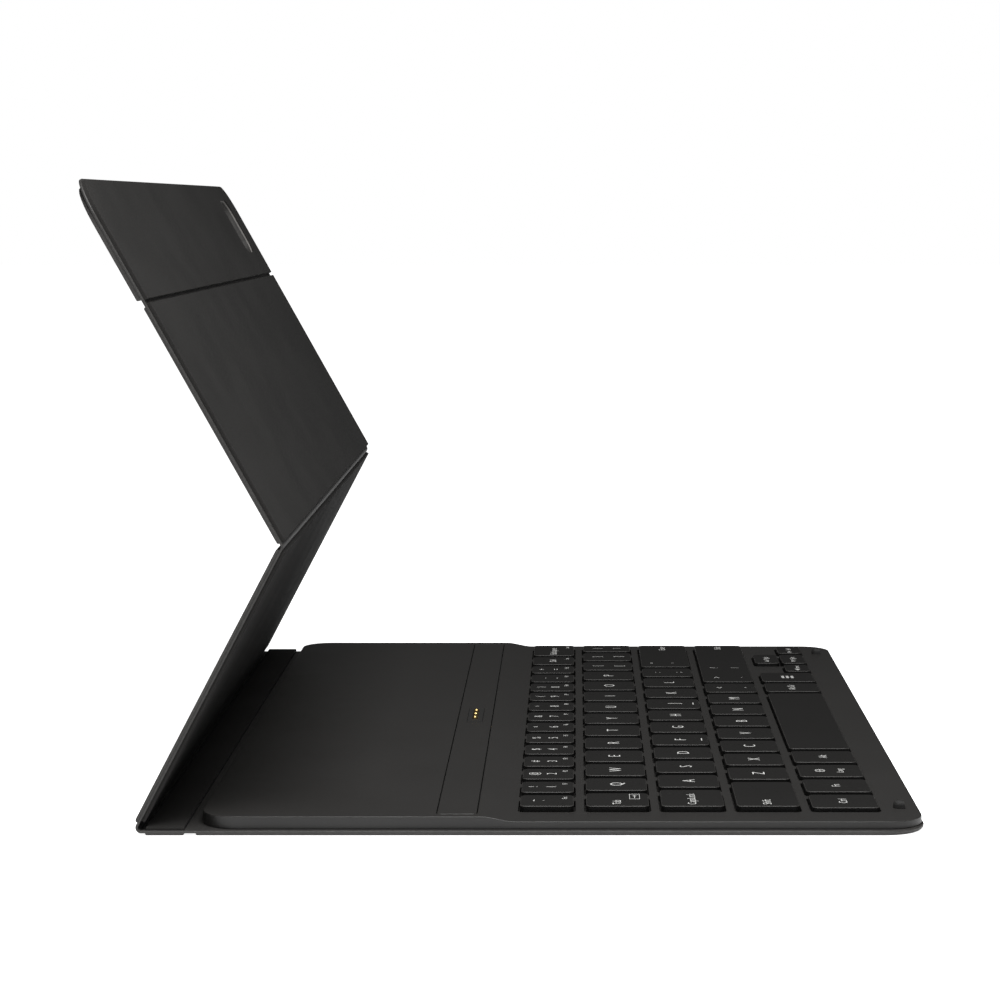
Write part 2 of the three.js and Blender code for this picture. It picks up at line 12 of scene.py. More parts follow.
import bmesh
import bpy
from mathutils import Matrix, Vector


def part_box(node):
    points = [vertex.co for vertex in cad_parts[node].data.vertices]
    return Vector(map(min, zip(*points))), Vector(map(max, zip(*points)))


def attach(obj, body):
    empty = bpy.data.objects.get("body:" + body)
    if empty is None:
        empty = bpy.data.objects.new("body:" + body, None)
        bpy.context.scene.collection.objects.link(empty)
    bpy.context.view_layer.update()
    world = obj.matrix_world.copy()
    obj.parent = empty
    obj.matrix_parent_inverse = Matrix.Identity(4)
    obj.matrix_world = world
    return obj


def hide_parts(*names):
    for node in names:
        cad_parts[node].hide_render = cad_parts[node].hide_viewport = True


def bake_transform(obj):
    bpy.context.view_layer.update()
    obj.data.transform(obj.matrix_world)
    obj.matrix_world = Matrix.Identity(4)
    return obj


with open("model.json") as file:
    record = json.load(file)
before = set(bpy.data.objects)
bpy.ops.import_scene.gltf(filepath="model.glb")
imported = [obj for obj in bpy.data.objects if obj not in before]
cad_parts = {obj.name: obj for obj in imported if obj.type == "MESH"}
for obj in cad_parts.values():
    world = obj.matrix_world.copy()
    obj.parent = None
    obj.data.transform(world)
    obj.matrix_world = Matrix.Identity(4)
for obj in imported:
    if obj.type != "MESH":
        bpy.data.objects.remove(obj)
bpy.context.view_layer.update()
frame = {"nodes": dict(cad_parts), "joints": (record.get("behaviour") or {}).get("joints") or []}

MM = 0.001


# ---------------------------------------------------------------- places taken from the frame


def box_mm(node):
    """Lowest and highest corner of a CAD node, in millimetres."""
    low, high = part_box(node)
    return low / MM, high / MM


def fold_point(joint_name):
    """Where a fold's axis crosses the plane x = 0, in millimetres."""
    joint = next(j for j in frame["joints"] if j["name"] == joint_name)
    return Vector(joint["pos_m"]) / MM


class Panel:
    """The axes of one cover panel, from its fold line towards another point."""

    def __init__(self, start, towards):
        self.start = start
        self.along = (towards - start).normalized()
        self.inward = Vector((1, 0, 0)).cross(self.along)
        self.length = (towards - start).length

    def point(self, s, t=0.0):
        return self.start + self.along * s + self.inward * t

    def matrix(self):
        """From the panel's (x, s, t) in millimetres to the frame in metres."""
        turn = Matrix((Vector((1, 0, 0)), self.along, self.inward)).transposed().to_4x4()
        return Matrix.Scale(MM, 4) @ Matrix.Translation(self.start) @ turn


SKIN_HALF_WIDTH = box_mm("base_skin")[1].x
SKIN_HALF_THICKNESS = (box_mm("base_skin")[1].z - box_mm("base_skin")[0].z) / 2
BASE_FRONT = box_mm("base_skin")[0].y
BASE_SKIN_Z = (box_mm("base_skin")[1].z + box_mm("base_skin")[0].z) / 2

FOLD_A = fold_point("spine_fold")
FOLD_B = fold_point("stand_fold")
FOLD_C = fold_point("holder_fold")
FOLD_D = fold_point("pen_flap_fold")
FLAP_LENGTH = 31.6
SPINE = Panel(FOLD_A, FOLD_B)
STAND = Panel(FOLD_B, FOLD_C)
HOLDER = Panel(FOLD_C, FOLD_D)
FLAP = Panel(FOLD_D, FOLD_D + HOLDER.along * FLAP_LENGTH)
FLAT = Matrix.Scale(MM, 4)  # millimetres on the frame's own axes


# ---------------------------------------------------------------- meshes

SMOOTH_ANGLE = 35  # degrees; corners sharper than this stay sharp


def smooth(obj, angle):
    """Smooth shading except at corners sharper than the angle, steadied by the size of the faces."""
    obj.data.shade_smooth()
    obj.data.set_sharp_from_angle(angle=math.radians(angle))
    weigh = obj.modifiers.new("weighted_normals", "WEIGHTED_NORMAL")
    weigh.keep_sharp = True


def new_object(name, bm, matrix=FLAT, smooth_angle=SMOOTH_ANGLE):
    """An object from a bmesh in millimetres, smooth except at corners sharper than smooth_angle."""
    mesh = bpy.data.meshes.new(name)
    bmesh.ops.recalc_face_normals(bm, faces=bm.faces)
    bm.to_mesh(mesh)
    bm.free()
    mesh.transform(matrix)
    obj = bpy.data.objects.new(name, mesh)
    bpy.context.scene.collection.objects.link(obj)
    smooth(obj, smooth_angle)
    return obj


def add_loft(bm, loops):
    """Joins closed loops of equal length side by side and caps the first and the last."""
    rings = [[bm.verts.new(point) for point in loop] for loop in loops]
    count = len(rings[0])
    for one, two in zip(rings, rings[1:]):
        for i in range(count):
            j = (i + 1) % count
            bm.faces.new((one[i], one[j], two[j], two[i]))
    bm.faces.new(rings[0])
    bm.faces.new(rings[-1])


def rounded_loop(rect, radii, z, segments=6):
    """A rectangle (x0, x1, y0, y1) with (low-y, high-y) corner radii, as points at height z."""
    x0, x1, y0, y1 = rect
    low, high = (max(r, 0.02) for r in radii)
    corners = [
        (x1 - low, y0 + low, low, -90),
        (x1 - high, y1 - high, high, 0),
        (x0 + high, y1 - high, high, 90),
        (x0 + low, y0 + low, low, 180),
    ]
    points = []
    for cx, cy, radius, start in corners:
        for k in range(segments + 1):
            angle = math.radians(start + 90 * k / segments)
            points.append((cx + radius * math.cos(angle), cy + radius * math.sin(angle), z))
    return points


def slab(name, rect, radii, profile, matrix=FLAT, end_scale=(1, 1), segments=6):
    """
    A slab with shaped edges. profile lists (inset, z) from the bottom face to the top face, and
    end_scale multiplies the inset at the low-y and high-y ends, so an end can slope more gently.
    """
    bm = bmesh.new()
    x0, x1, y0, y1 = rect
    loops = []
    for inset, z in profile:
        low, high = inset * end_scale[0], inset * end_scale[1]
        shrunk = (x0 + inset, x1 - inset, y0 + low, y1 - high)
        loops.append(rounded_loop(shrunk, [r - inset for r in radii], z, segments))
    add_loft(bm, loops)
    return new_object(name, bm, matrix)


def fillet(radius, z_flat, z_face, steps=4):
    """(inset, z) points of a quarter round from a side wall at z_flat to a face at z_face."""
    rise = z_face - z_flat
    angles = [math.pi / 2 * k / steps for k in range(steps + 1)]
    return [(radius * (1 - math.cos(a)), z_flat + rise * math.sin(a)) for a in angles]


def cut_out(obj, cutter):
    """Takes the cutter's volume out of the object, for good."""
    obj.modifiers.clear()
    modifier = obj.modifiers.new("cut", "BOOLEAN")
    modifier.operation = "DIFFERENCE"
    modifier.solver = "EXACT"
    modifier.object = cutter
    bpy.context.view_layer.update()
    evaluated = obj.evaluated_get(bpy.context.evaluated_depsgraph_get())
    mesh = bpy.data.meshes.new_from_object(evaluated)
    obj.modifiers.clear()
    obj.data = mesh
    smooth(obj, SMOOTH_ANGLE)


def paint(obj, material):
    obj.data.materials.clear()
    obj.data.materials.append(material)


def place(obj, body, slot, material, *replaced):
    """Gives a finished piece its material and its body, and hides the nodes it stands for; slot is not
    used.
    """
    paint(obj, material)
    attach(obj, body)
    if replaced:
        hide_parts(*replaced)


# ---------------------------------------------------------------- materials


class Nodes:
    """A material's node tree, with short ways to add to it."""

    def __init__(self, name):
        self.material = bpy.data.materials.new(name)
        self.material.use_nodes = True
        self.tree = self.material.node_tree
        self.shader = self.tree.nodes["Principled BSDF"]
        self.coords = self.tree.nodes.new("ShaderNodeTexCoord").outputs["Object"]

    def add(self, kind, inputs=None, **settings):
        node = self.tree.nodes.new(kind)
        for key, value in settings.items():
            setattr(node, key, value)
        for key, value in (inputs or {}).items():
            if isinstance(value, bpy.types.NodeSocket):
                self.tree.links.new(value, node.inputs[key])
            else:
                node.inputs[key].default_value = value
        return node

    def noise(self, size, detail=2.0, roughness=0.5):
        """Noise with features of about size millimetres."""
        inputs = {"Vector": self.coords, "Scale": 1 / (size * MM)}
        inputs |= {"Detail": detail, "Roughness": roughness}
        return self.add("ShaderNodeTexNoise", inputs).outputs["Fac"]

    def stretched_noise(self, stretch, scale, detail):
        """Noise drawn out along x, with its scale in features per metre."""
        drawn = self.add("ShaderNodeMapping", {"Vector": self.coords, "Scale": (stretch, 1, 1)})
        inputs = {"Vector": drawn.outputs[0], "Scale": scale, "Detail": detail}
        return self.add("ShaderNodeTexNoise", inputs).outputs["Fac"]

    def cells(self, size):
        """Rounded cells of about size millimetres, as distance to the cell's middle."""
        inputs = {"Vector": self.coords, "Scale": 1 / (size * MM)}
        return self.add("ShaderNodeTexVoronoi", inputs).outputs["Distance"]

    def math(self, operation, a, b):
        return self.add("ShaderNodeMath", {0: a, 1: b}, operation=operation).outputs[0]

    def up(self):
        """How far the surface faces up: 1 for a level face and 0 for an upright one."""
        normal = self.add("ShaderNodeNewGeometry").outputs["Normal"]
        return self.add("ShaderNodeSeparateXYZ", {"Vector": normal}).outputs["Z"]

    def range(self, value, low, high, to_low, to_high):
        inputs = {"Value": value, "From Min": low, "From Max": high, "To Min": to_low, "To Max": to_high}
        return self.add("ShaderNodeMapRange", inputs).outputs["Result"]

    def mix(self, fac, one, two):
        node = self.add("ShaderNodeMix", data_type="RGBA")
        for socket, value in (("Factor_Float", fac), ("A_Color", one), ("B_Color", two)):
            found = next(i for i in node.inputs if i.identifier == socket)
            if isinstance(value, bpy.types.NodeSocket):
                self.tree.links.new(value, found)
            else:
                found.default_value = value
        return next(o for o in node.outputs if o.identifier == "Result_Color")

    def bump(self, height, distance, strength=1.0):
        """Bump from a height, distance in millimetres."""
        inputs = {"Height": height, "Distance": distance * MM, "Strength": strength}
        normal = self.add("ShaderNodeBump", inputs).outputs["Normal"]
        self.tree.links.new(normal, self.shader.inputs["Normal"])

    def set(self, name, value):
        if isinstance(value, bpy.types.NodeSocket):
            self.tree.links.new(value, self.shader.inputs[name])
        else:
            self.shader.inputs[name].default_value = value


def grey(value, warmth=0.045):
    """An almost neutral, slightly warm colour."""
    return (value * (1 + warmth), value, value * (1 - 1.2 * warmth), 1.0)


def cover_material():
    """Soft synthetic leather: fine pebbled grain and faint blotches, a touch lighter on the crests."""
    n = Nodes("cover_leather")
    grain = n.cells(0.55)
    fine = n.noise(0.18, 3)
    blotch = n.noise(14, 3, 0.6)
    height = n.math("ADD", n.math("MULTIPLY", grain, 0.75), n.math("MULTIPLY", fine, 0.35))
    shade = n.math("ADD", n.range(grain, 0.0, 0.8, 0.75, 0.15), n.range(blotch, 0.3, 0.7, -0.2, 0.2))
    n.set("Base Color", n.mix(shade, grey(0.026), grey(0.038)))
    n.set("Roughness", n.range(blotch, 0.3, 0.7, 0.52, 0.64))
    n.bump(height, 0.05, 0.55)
    return n.material


def skin_material():
    """Smooth outer skin, seen at the edges and in the folds: fine grain and long faint creases."""
    n = Nodes("skin_leather")
    crease = n.stretched_noise(0.15, 900.0, 4.0)
    fine = n.noise(0.25, 3)
    n.set("Base Color", n.mix(n.range(crease, 0.35, 0.7, 0, 1), grey(0.021), grey(0.030)))
    n.set("Roughness", n.range(fine, 0.3, 0.7, 0.48, 0.6))
    n.bump(n.math("ADD", crease, n.math("MULTIPLY", fine, 0.5)), 0.04, 0.5)
    return n.material


def lining_material():
    """Short brushed microfibre: matt, near black, with a soft nap that changes in patches."""
    n = Nodes("lining_microfibre")
    fibre = n.stretched_noise(0.35, 5200.0, 3.0)
    nap = n.noise(22, 2, 0.5)
    tone = n.math("ADD", n.range(fibre, 0.3, 0.7, 0, 0.7), n.range(nap, 0.35, 0.65, 0, 0.3))
    n.set("Base Color", n.mix(tone, grey(0.010), grey(0.019)))
    n.set("Roughness", n.range(nap, 0.3, 0.7, 0.8, 0.9))
    n.set("Specular IOR Level", 0.2)
    n.bump(fibre, 0.03, 0.5)
    return n.material


def moulded_material(name, dark, light, roughness, grain, bump, side=1.0):
    """
    Spark-eroded moulded plastic: an even fine texture and a slight change of gloss. side multiplies
    the colour of upright faces; below 1 this is painted shade on the walls.
    """
    n = Nodes(name)
    fine = n.noise(grain, 4, 0.6)
    broad = n.noise(30, 2, 0.5)
    top = n.mix(n.range(fine, 0.3, 0.7, 0, 1), grey(dark), grey(light))
    # painted shade: upright faces take side times the colour, so the walls are painted darker when side
    # is below 1
    walls = n.range(n.up(), 0.1, 0.5, 0, 1)
    n.set("Base Color", n.mix(walls, grey(dark * side), top))
    n.set("Roughness", n.range(broad, 0.3, 0.7, roughness - 0.03, roughness + 0.04))
    n.bump(fine, bump, 0.5)
    return n.material


def cap_material():
    """Matt cap tops; the rounded top edge is painted lighter as a painted highlight, and the upright
    sides are painted near black as painted shade.
    """
    n = Nodes("cap_plastic")
    fine = n.noise(0.12, 4, 0.6)
    broad = n.noise(30, 2, 0.5)
    up = n.up()
    top = n.mix(n.range(fine, 0.3, 0.7, 0, 1), grey(0.0085), grey(0.0125))
    # painted highlight: the rounded band between the level top and the upright sides is painted about
    # three times lighter than the top
    edge = n.mix(n.range(up, 0.9, 0.99, 0, 1), grey(0.034), top)
    # painted shade: faces that stand upright are painted near black
    n.set("Base Color", n.mix(n.range(up, 0.25, 0.5, 0, 1), grey(0.0018), edge))
    n.set("Roughness", n.range(broad, 0.3, 0.7, 0.47, 0.54))
    n.set("Specular IOR Level", 0.32)
    n.bump(fine, 0.012, 0.5)
    return n.material


def legend_material():
    """White printed ink, slightly uneven."""
    n = Nodes("legend_ink")
    patch = n.noise(0.3, 2)
    cover = n.range(patch, 0.3, 0.7, 0, 1)
    n.set("Base Color", n.mix(cover, (0.62, 0.62, 0.60, 1), (0.78, 0.78, 0.76, 1)))
    n.set("Roughness", n.range(patch, 0.3, 0.7, 0.5, 0.6))
    return n.material


def metal_material(name, colour, roughness, stretch):
    """Metal with fine marks drawn out along x."""
    n = Nodes(name)
    marks = n.stretched_noise(stretch, 1500.0, 3.0)
    darker = tuple(c * 0.82 for c in colour[:3]) + (1,)
    n.set("Base Color", n.mix(n.range(marks, 0.3, 0.7, 0, 1), darker, colour))
    n.set("Metallic", 1.0)
    n.set("Roughness", n.range(marks, 0.3, 0.7, roughness - 0.06, roughness + 0.06))
    n.bump(marks, 0.01, 0.3)
    return n.material


def board_material():
    """Green solder mask over copper tracks."""
    n = Nodes("board_mask")
    brick = n.add("ShaderNodeTexBrick", {"Vector": n.coords, "Scale": 140.0})
    tracks = n.range(brick.outputs["Fac"], 0, 1, 0, 1)
    n.set("Base Color", n.mix(tracks, (0.015, 0.09, 0.045, 1), (0.03, 0.17, 0.08, 1)))
    n.set("Roughness", n.range(n.noise(0.4), 0.3, 0.7, 0.35, 0.5))
    return n.material


def film_material():
    """Dark printed film with fine silver tracks."""
    n = Nodes("printed_film")
    waves = n.add("ShaderNodeTexWave", {"Vector": n.coords, "Scale": 180.0, "Distortion": 2.0})
    tracks = n.range(waves.outputs["Fac"], 0.85, 0.95, 0, 1)
    n.set("Base Color", n.mix(tracks, grey(0.012), grey(0.06)))
    n.set("Roughness", n.range(tracks, 0, 1, 0.45, 0.3))
    return n.material


COVER = cover_material()
SKIN = skin_material()
LINING = lining_material()
# the deck's upright walls are painted at 0.6 of its colour, as painted shade
DECK_PLASTIC = moulded_material("deck_plastic", 0.018, 0.025, 0.44, 0.16, 0.02, 0.6)
STRIP_PLASTIC = moulded_material("strip_plastic", 0.018, 0.026, 0.4, 0.2, 0.02)
CAP_PLASTIC = cap_material()
RUBBER = moulded_material("bumper_rubber", 0.008, 0.012, 0.75, 0.3, 0.03)
STIFFENER = moulded_material("stiffener_board", 0.13, 0.2, 0.6, 0.8, 0.05)
LEGEND = legend_material()
STEEL = metal_material("rolled_steel", (0.55, 0.55, 0.57, 1), 0.34, 0.05)
NICKEL = metal_material("nickel_plate", (0.62, 0.62, 0.64, 1), 0.28, 0.5)
GOLD = metal_material("gold_plate", (0.85, 0.62, 0.26, 1), 0.24, 1.0)
BOARD = board_material()
FILM = film_material()

HIDDEN_NODES = {
    STIFFENER: ["spine_stiffener", "stand_stiffener", "holder_stiffener", "flap_stiffener"],
    NICKEL: ["strip_magnet_left", "strip_magnet_right", "holder_magnet_left", "holder_magnet_right"],
    STEEL: ["bottom_plate"],
    BOARD: ["controller_board"],
    FILM: ["switch_membrane", "ribbon_cable"],
    RUBBER: ["contact_block"],
    GOLD: ["contact_pin_left", "contact_pin_middle", "contact_pin_right"],
}


def paint_cad_nodes():
    for material, nodes in HIDDEN_NODES.items():
        for node in nodes:
            paint(frame["nodes"][node], material)


# ---------------------------------------------------------------- cover


CORNER_RADIUS = 9.5  # outer corners of the two free ends
SKIN_EDGE = 0.2  # rounding of the skin at its free ends
PAD_INSET = 0.3  # the padding stops this far inside the skin's edge
LINING_INSET = 0.6
LINING_RIM = 2.3  # width of the lining's rim, which runs down to the skin
LAYER_GAP = 0.01  # parts the layers, so that no two faces coincide
FINE = 0.25  # spacing of the skin's cross-sections near a soft fold


def station(panel, s):
    """A place on a panel's centreline, as (point, inward direction)."""
    return panel.point(s), panel.inward.copy()


def mid_station(panel):
    return station(panel, panel.length / 2)


def bend(before, after, radius, steps=14):
    """Places round a fold from one panel to the next, on an arc that touches both centrelines."""
    turn = before.along.angle(after.along)
    axis = before.along.cross(after.along)
    side = 1 if axis.x > 0 else -1
    reach = radius * math.tan(turn / 2)
    start = after.start - before.along * reach
    centre = start + before.inward * radius * side
    places = []
    for k in range(steps + 1):
        spin = Matrix.Rotation(side * turn * k / steps, 3, "X")
        places.append((centre + spin @ (start - centre), spin @ before.inward))
    return places, start, after.start + after.along * reach


def free_end_stations(radius, edge):
    """(distance from a free end, width lost there, thickness lost there) for a rounded end."""
    stations = []
    for k in range(5):
        angle = math.pi / 2 * k / 4
        stations.append((edge * (1 - math.cos(angle)), edge * (1 - math.sin(angle))))
    for k in range(1, 13):
        stations.append((edge + (radius - edge) * (1 - math.cos(math.pi / 2 * k / 12)), 0.0))
    out = []
    for distance, thinner in stations:
        inner = max(radius - distance, 0)
        narrower = radius - math.sqrt(max(radius * radius - inner * inner, 0))
        out.append((distance, narrower, thinner))
    return out


def skin_ring(point, inward, half_width, half_thickness):
    """One cross-section of the skin: a flat bar with rounded long edges."""
    edge = min(0.22, half_thickness * 0.8)
    ring = []
    for side, start in ((1, -90), (-1, 90)):
        for up in (0, 1):
            for k in range(4):
                angle = math.radians(start + 90 * up + 90 * k / 3)
                rise = 1 if (start + 90 * up + 45) % 360 < 180 else -1
                x = side * (half_width - edge) + edge * math.cos(angle)
                t = rise * (half_thickness - edge) + edge * math.sin(angle)
                ring.append(Vector((x, 0, 0)) + point + inward * t)
    return ring


def skin_piece(name, places, widths=None):
    """A stretch of skin through stations. widths lists the (width, thickness) lost at each."""
    widths = widths or [(0, 0)] * len(places)
    bm = bmesh.new()
    loops = []
    for (point, inward), (narrower, thinner) in zip(places, widths):
        half = SKIN_HALF_WIDTH - narrower
        loops.append(skin_ring(point, inward, half, max(SKIN_HALF_THICKNESS - thinner, 0.05)))
    add_loft(bm, loops)
    return new_object(name, bm, FLAT, 40)


def fine_steps(panel, s0, s1, step):
    count = max(1, round(abs(s1 - s0) / step))
    return [station(panel, s0 + (s1 - s0) * k / count) for k in range(count + 1)]


def finish_skin(piece, nodes):
    """Gives a stretch of skin its look, hides the nodes it stands for and bakes its placement into the
    mesh.
    """
    paint(piece, SKIN)
    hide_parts(*nodes)
    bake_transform(piece)


def build_skins():
    """Four stretches of one skin. Each crosses one fold and meets the next in the middle of a panel."""
    base = Panel(Vector((0, BASE_FRONT, BASE_SKIN_Z)), FOLD_A)
    end = free_end_stations(CORNER_RADIUS, SKIN_EDGE)

    # from the typist's edge, across the first fold, to the middle of the spine
    places = [station(base, distance) for distance, _, _ in end]
    widths = [(narrower, thinner) for _, narrower, thinner in end]
    rest = fine_steps(base, base.length - 3, base.length, FINE)
    rest += [*fine_steps(SPINE, FINE, 3, FINE), mid_station(SPINE)]
    piece = skin_piece("skin_base", places + rest, widths + [(0, 0)] * len(rest))
    finish_skin(piece, ["base_skin"])

    # round the sharp fold behind the keyboard, to the middle of the stand
    arc, start, end_point = bend(SPINE, STAND, 1.0)
    half = SPINE.length / 2
    places = [*fine_steps(SPINE, half, half + 1, 1), *arc, mid_station(STAND)]
    piece = skin_piece("skin_spine", places)
    finish_skin(piece, ["spine_skin"])

    # over the top of the stand, to the middle of the holder
    arc, _, _ = bend(STAND, HOLDER, 0.9)
    places = [mid_station(STAND), *fine_steps(STAND, STAND.length - 3, STAND.length - 0.7, 0.4), *arc]
    places += [*fine_steps(HOLDER, 0.7, 3, 0.4), mid_station(HOLDER)]
    piece = skin_piece("skin_stand", places)
    start, end_point = STAND.point(STAND.length - 1), HOLDER.point(1)
    finish_skin(piece, ["stand_skin"])

    # across the flap's fold, to the rounded top edge
    places = [mid_station(HOLDER), *fine_steps(HOLDER, HOLDER.length - 3, HOLDER.length, FINE)]
    places += fine_steps(FLAP, FINE, 3, FINE)
    widths = [(0, 0)] * len(places)
    places += [station(FLAP, FLAP.length - distance) for distance, _, _ in end[::-1]]
    widths += [(narrower, thinner) for _, narrower, thinner in end[::-1]]
    piece = skin_piece("skin_flap", places, widths)
    cut_out(piece, camera_window_cutter())
    start, end_point = HOLDER.point(HOLDER.length - 1), FLAP.point(1)
    finish_skin(piece, ["holder_skin", "flap_skin"])


@cache
def camera_window_cutter():
    """The window for the tablet's rear camera, as a solid through the flap. It is removed at the end."""
    rect = (SKIN_HALF_WIDTH - 32, SKIN_HALF_WIDTH - 13, 8, 26)
    return slab("window_cutter", rect, (5, 5), [(0, -4), (0, 4)], FLAP.matrix(), segments=12)


def build_pad(name, body, panel, ys, thickness, radii=(0, 0), end_scale=(1, 1), cut=False):
    """The padded outer layer of a panel, rounded over at its edges."""
    half = SKIN_HALF_WIDTH - PAD_INSET
    inner = -SKIN_HALF_THICKNESS - LAYER_GAP
    round_off = min(0.42, thickness * 0.7)
    profile = [(0, inner)] + fillet(round_off, inner - thickness + round_off, inner - thickness, 5)
    rect = (-half, half, *ys)
    pad = slab(f"{name}_padding", rect, radii, profile, panel.matrix(), end_scale)
    if cut:
        cut_out(pad, camera_window_cutter())
    place(pad, body, "cover", COVER, f"{name}_pad")


def build_lining(name, body, panel, ys, radii=(0, 0), cut=False):
    """The inner layer of a panel, with a rim that runs down to the skin around the stiffener."""
    half = SKIN_HALF_WIDTH - LINING_INSET
    skin_face = SKIN_HALF_THICKNESS + LAYER_GAP
    top, end = (1.1, 0.55) if name == "spine" else (1.2, 0.8)
    room = top - 0.4
    profile = [(LINING_RIM, room), (LINING_RIM, skin_face), (0, skin_face)]
    profile += fillet(0.18, top - 0.18, top, 4)
    rect = (-half, half, *ys)
    lining = slab(f"{name}_inner_lining", rect, radii, profile, panel.matrix(), (end, end))
    if cut:
        cut_out(lining, camera_window_cutter())
    place(lining, body, "lining", LINING, f"{name}_lining")


def build_cover():
    build_skins()
    flat_base = Panel(Vector((0, 0, BASE_SKIN_Z)), Vector((0, 1, BASE_SKIN_Z)))
    radius = CORNER_RADIUS - PAD_INSET
    base_ys = (BASE_FRONT + PAD_INSET, FOLD_A.y - 1.3)
    build_pad("base", "base", flat_base, base_ys, 0.53, (radius, 0), (1, 1.6))
    build_pad("spine", "spine", SPINE, (1.35, SPINE.length - 2.55), 0.53, (0, 0), (1.6, 1.6))
    build_pad("stand", "stand", STAND, (2.25, STAND.length - 1.1), 0.7, (0, 0), (1.6, 1.2))
    build_pad("holder", "holder", HOLDER, (0.98, HOLDER.length - 0.95), 0.51, (0, 0), (2.4, 1))
    build_pad("flap", "pen_flap", FLAP, (1, FLAP.length - 1.6), 1.03, (0, radius), (1, 1), cut=True)
    build_lining("spine", "spine", SPINE, (1.3, SPINE.length - 2.75))
    build_lining("stand", "stand", STAND, (3, STAND.length - 1))
    build_lining("holder", "holder", HOLDER, (1, HOLDER.length - 0.5))
    top_radius = CORNER_RADIUS - LINING_INSET
    build_lining("flap", "pen_flap", FLAP, (0.5, FLAP.length - 0.6), (0, top_radius), cut=True)


# ---------------------------------------------------------------- keyboard case

SIDE_CLEARANCE = 0.6  # from a cap to its well, along a row
DEPTH_CLEARANCE = 0.4  # and across the row
CAP_CORNER = 1.3
CAP_FILLET = 0.24
WELL_CORNER = 1.5
DECK_CORNER = 8.5
DECK_EDGE = 0.16  # rounding of the deck's edges and of its holes
STRIP_GAP = 0.2
STRIP_EDGE = 0.12
STRIP_DEPTH = 0.5  # only the top of the strip is drawn
BLOCK_GAP = 0.08
SLOPE_FRONT, SLOPE_BACK = 10.6, 18.6  # where the deck rises behind the keys
SLOPE_STEPS = 20


def widened(node, gap):
    """A node's rectangle (x0, x1, y0, y1) in plan, with a gap all round."""
    low, high = box_mm(node)
    return low.x - gap, high.x + gap, low.y - gap, high.y + gap


def outline(curve, points):
    spline = curve.splines.new("POLY")
    spline.points.add(len(points) - 1)
    for target, (x, y, _) in zip(spline.points, points):
        target.co = (x, y, 0, 1)
    spline.use_cyclic_u = True


def filled_plate(name, loops, z0, z1, edge):
    """A plate from an outer loop and holes, with a small round on every edge, as a welded bmesh."""
    curve = bpy.data.curves.new(name, "CURVE")
    curve.dimensions = "2D"
    curve.fill_mode = "BOTH"
    curve.extrude = (z1 - z0) / 2 - edge
    curve.bevel_depth = edge
    curve.bevel_resolution = 3
    curve.offset = -edge
    for points in loops:
        outline(curve, points)
    carrier = bpy.data.objects.new(name, curve)
    bpy.context.scene.collection.objects.link(carrier)
    bpy.context.view_layer.update()
    evaluated = carrier.evaluated_get(bpy.context.evaluated_depsgraph_get())
    mesh = bpy.data.meshes.new_from_object(evaluated)
    bm = bmesh.new()
    bm.from_mesh(mesh)
    bmesh.ops.remove_doubles(bm, verts=bm.verts, dist=0.002)
    bmesh.ops.translate(bm, verts=bm.verts, vec=(0, 0, (z0 + z1) / 2))
    bpy.data.objects.remove(carrier)
    bpy.data.meshes.remove(mesh)
    bpy.data.curves.remove(curve)
    return bm


def build_deck(wells):
    """The moulded top of the case: key wells, the strip's slot and the soft rise behind the keys."""
    low, high = box_mm("top_case")
    front_z = box_mm("bumper_left")[0].z  # the bumpers stand on the low part of the deck
    loops = [rounded_loop(widened("top_case", 0), (DECK_CORNER, DECK_CORNER), 0, 12)]
    loops += [rounded_loop(well, (WELL_CORNER, WELL_CORNER), 0, 5) for well in wells]
    loops.append(rounded_loop(widened("connector_strip", STRIP_GAP), (1.2, 1.2), 0, 4))
    bm = filled_plate("deck", loops, low.z, front_z, DECK_EDGE)
    for k in range(SLOPE_STEPS + 1):
        y = SLOPE_FRONT + (SLOPE_BACK - SLOPE_FRONT) * k / SLOPE_STEPS
        geometry = bm.verts[:] + bm.edges[:] + bm.faces[:]
        bmesh.ops.bisect_plane(bm, geom=geometry, plane_co=(0, y, 0), plane_no=(0, 1, 0), dist=1e-5)
    half_way = (low.z + front_z) / 2
    for vert in bm.verts:
        if vert.co.z > half_way:
            share = min(max((vert.co.y - SLOPE_FRONT) / (SLOPE_BACK - SLOPE_FRONT), 0), 1)
            vert.co.z += (high.z - front_z) * share * share * (3 - 2 * share)
    deck = new_object("deck", bm, FLAT, 32)
    place(deck, "base", "deck", DECK_PLASTIC, "top_case")


def build_strip():
    """The bar that carries the tablet's edge, with its slot for the contact block."""
    top = box_mm("connector_strip")[1].z
    loops = [rounded_loop(widened("connector_strip", 0), (1, 1), 0, 4)]
    loops.append(rounded_loop(widened("contact_block", BLOCK_GAP), (0.3, 0.3), 0, 3))
    bm = filled_plate("strip", loops, top - STRIP_DEPTH, top, STRIP_EDGE)
    strip = new_object("edge_strip", bm)
    place(strip, "base", "deck", STRIP_PLASTIC, "connector_strip")


STOP_DOME = 1.2  # height of the dome on a stop
STOP_DOME_INSET = 0.95


def build_bumpers():
    """The D-shaped rubber stops, domed at the top."""
    for side in ("left", "right"):
        low, high = box_mm(f"bumper_{side}")
        half = (high.x - low.x) / 2
        cx, cy = (low.x + high.x) / 2, high.y - half
        bm = bmesh.new()
        loops = []
        for inset, z in [(0, low.z)] + fillet(STOP_DOME_INSET, high.z - STOP_DOME, high.z, 8):
            radius = half - inset
            arc = [math.pi * k / 20 for k in range(21)]
            points = [(cx + radius * math.cos(a), cy + radius * math.sin(a), z) for a in arc]
            front = low.y + inset * 0.55
            points += [(cx - radius, front, z), (cx + radius, front, z)]
            loops.append(points)
        add_loft(bm, loops)
        bumper = new_object(f"stop_{side}", bm, FLAT, 50)
        place(bumper, "base", "rubber", RUBBER, f"bumper_{side}")


